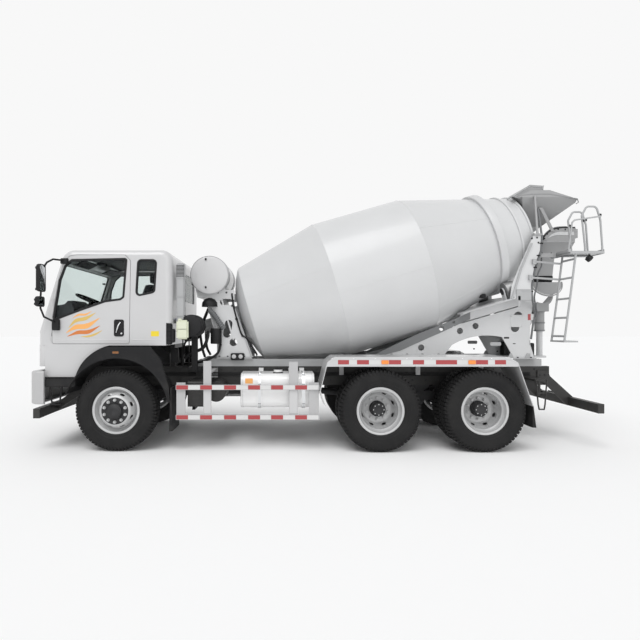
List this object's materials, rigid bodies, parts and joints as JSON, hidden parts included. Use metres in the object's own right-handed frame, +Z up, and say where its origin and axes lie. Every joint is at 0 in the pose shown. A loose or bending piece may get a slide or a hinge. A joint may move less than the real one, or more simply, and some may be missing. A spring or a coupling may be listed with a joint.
{
  "type": "concrete mixer truck",
  "caption": "Cab-over lorry with a tilted turning drum, charging hopper, swing chute, tilting cab, steered front wheels and twin rear wheels.",
  "frame": {"origin": "on the ground, under the centre of the whole truck's box", "axes": "+X towards the rear, +Y to the truck's right, +Z up"},
  "size_m": [7.624, 2.8, 3.67],
  "materials": {
    "white_paint": "gloss",
    "grey_paint": "satin",
    "black_paint": "satin",
    "dark_steel": "rough",
    "rim_paint": "satin",
    "tyre": "matte",
    "glass": "clear",
    "dark_plastic": "matte",
    "interior": "matte",
    "lamp": "gloss",
    "reservoir": "translucent"
  },
  "bodies": {
    "chassis": {"air_intake": "dark_plastic", "air_tanks_and_battery": "black_paint", "cab_mounts": "black_paint", "charging_hopper": "white_paint", "coolant_reservoir": "reservoir", "cross_members": "black_paint", "discharge_collector": "white_paint", "driveline": "dark_steel", "drum_gearbox": "grey_paint", "engine_and_radiator": "dark_steel", "frame_rails": "black_paint", "front_axle": "black_paint", "front_bumper": "white_paint", "front_pedestal": "grey_paint", "fuel_tank": "white_paint", "ladder": "grey_paint", "lamps": "lamp", "leaf_springs": "dark_steel", "mudguards_and_flaps": "dark_plastic", "rear_axles": "dark_steel", "rear_cables": "dark_plastic", "rear_fenders": "white_paint", "rear_pedestal": "white_paint", "side_guards": "white_paint", "silencer": "dark_steel", "subframe_rails": "grey_paint", "underrun_guards": "black_paint", "water_tank": "white_paint"},
    "cab": {"cab_shell": "white_paint", "front_panel": "white_paint", "cab_glass": "glass", "dashboard": "interior", "steering_wheel": "interior", "seats": "interior"},
    "drum": {"drum": "white_paint"},
    "roller_left": {"roller_left": "dark_steel"},
    "roller_right": {"roller_right": "dark_steel"},
    "swing_chute": {"swing_chute": "white_paint"},
    "rear_wheels_left_1": {"rear_tyres_left_1": "tyre", "rear_rims_left_1": "rim_paint"},
    "rear_wheels_left_2": {"rear_tyres_left_2": "tyre", "rear_rims_left_2": "rim_paint"},
    "knuckle_left": {"knuckle_left": "dark_steel"},
    "front_wheel_left": {"front_tyre_left": "tyre", "front_rim_left": "rim_paint"},
    "door_left": {"door_left": "white_paint", "door_glass_left": "glass", "mirror_left": "dark_plastic"},
    "rear_wheels_right_1": {"rear_tyres_right_1": "tyre", "rear_rims_right_1": "rim_paint"},
    "rear_wheels_right_2": {"rear_tyres_right_2": "tyre", "rear_rims_right_2": "rim_paint"},
    "knuckle_right": {"knuckle_right": "dark_steel"},
    "front_wheel_right": {"front_tyre_right": "tyre", "front_rim_right": "rim_paint"},
    "door_right": {"door_right": "white_paint", "door_glass_right": "glass", "mirror_right": "dark_plastic"}
  },
  "joints": [
    {"name": "cab_tilt", "type": "hinge", "parent": "chassis", "child": "cab", "pos_m": [-3.693, 0, 1.105], "axis": [0, -1, 0], "range_deg": [0, 45]},
    {"name": "drum_spin", "type": "hinge", "parent": "chassis", "child": "drum", "pos_m": [0.469, 0, 2.254], "axis": [0.9594, 0, 0.2822], "continuous": true},
    {"name": "chute_swing", "type": "hinge", "parent": "chassis", "child": "swing_chute", "pos_m": [3.419, 0, 1.7], "axis": [0, 0, 1], "range_deg": [-110, 0]},
    {"name": "rear_wheels_left_1_spin", "type": "hinge", "parent": "chassis", "child": "rear_wheels_left_1", "pos_m": [0.769, 0, 0.535], "axis": [0, 1, 0], "continuous": true},
    {"name": "rear_wheels_left_2_spin", "type": "hinge", "parent": "chassis", "child": "rear_wheels_left_2", "pos_m": [2.119, 0, 0.535], "axis": [0, 1, 0], "continuous": true},
    {"name": "steer_left", "type": "hinge", "parent": "chassis", "child": "knuckle_left", "pos_m": [-2.671, -0.85, 0.535], "axis": [0, 0, 1], "range_deg": [-35, 35]},
    {"name": "front_wheel_left_spin", "type": "hinge", "parent": "knuckle_left", "child": "front_wheel_left", "pos_m": [-2.671, -0.85, 0.535], "axis": [0, 1, 0], "continuous": true},
    {"name": "door_left_open", "type": "hinge", "parent": "cab", "child": "door_left", "pos_m": [-3.547, -1.052, 1.9], "axis": [0, 0, -1], "range_deg": [0, 70]},
    {"name": "roller_left_spin", "type": "hinge", "parent": "chassis", "child": "roller_left", "pos_m": [2.72304, -0.51306, 2.1532], "axis": [0.9594, 0, 0.2822], "continuous": true},
    {"name": "rear_wheels_right_1_spin", "type": "hinge", "parent": "chassis", "child": "rear_wheels_right_1", "pos_m": [0.769, 0, 0.535], "axis": [0, 1, 0], "continuous": true},
    {"name": "rear_wheels_right_2_spin", "type": "hinge", "parent": "chassis", "child": "rear_wheels_right_2", "pos_m": [2.119, 0, 0.535], "axis": [0, 1, 0], "continuous": true},
    {"name": "steer_right", "type": "hinge", "parent": "chassis", "child": "knuckle_right", "pos_m": [-2.671, 0.85, 0.535], "axis": [0, 0, 1], "range_deg": [-35, 35]},
    {"name": "front_wheel_right_spin", "type": "hinge", "parent": "knuckle_right", "child": "front_wheel_right", "pos_m": [-2.671, 0.85, 0.535], "axis": [0, 1, 0], "continuous": true},
    {"name": "door_right_open", "type": "hinge", "parent": "cab", "child": "door_right", "pos_m": [-3.547, 1.052, 1.9], "axis": [0, 0, 1], "range_deg": [0, 70]},
    {"name": "roller_right_spin", "type": "hinge", "parent": "chassis", "child": "roller_right", "pos_m": [2.72304, 0.51306, 2.1532], "axis": [0.9594, 0, 0.2822], "continuous": true}
  ],
  "couplings": [
    {"joint": "roller_left_spin", "follows": "drum_spin", "ratio": -6.45},
    {"joint": "roller_right_spin", "follows": "drum_spin", "ratio": -6.45},
    {"joint": "steer_right", "follows": "steer_left", "ratio": 1}
  ]
}
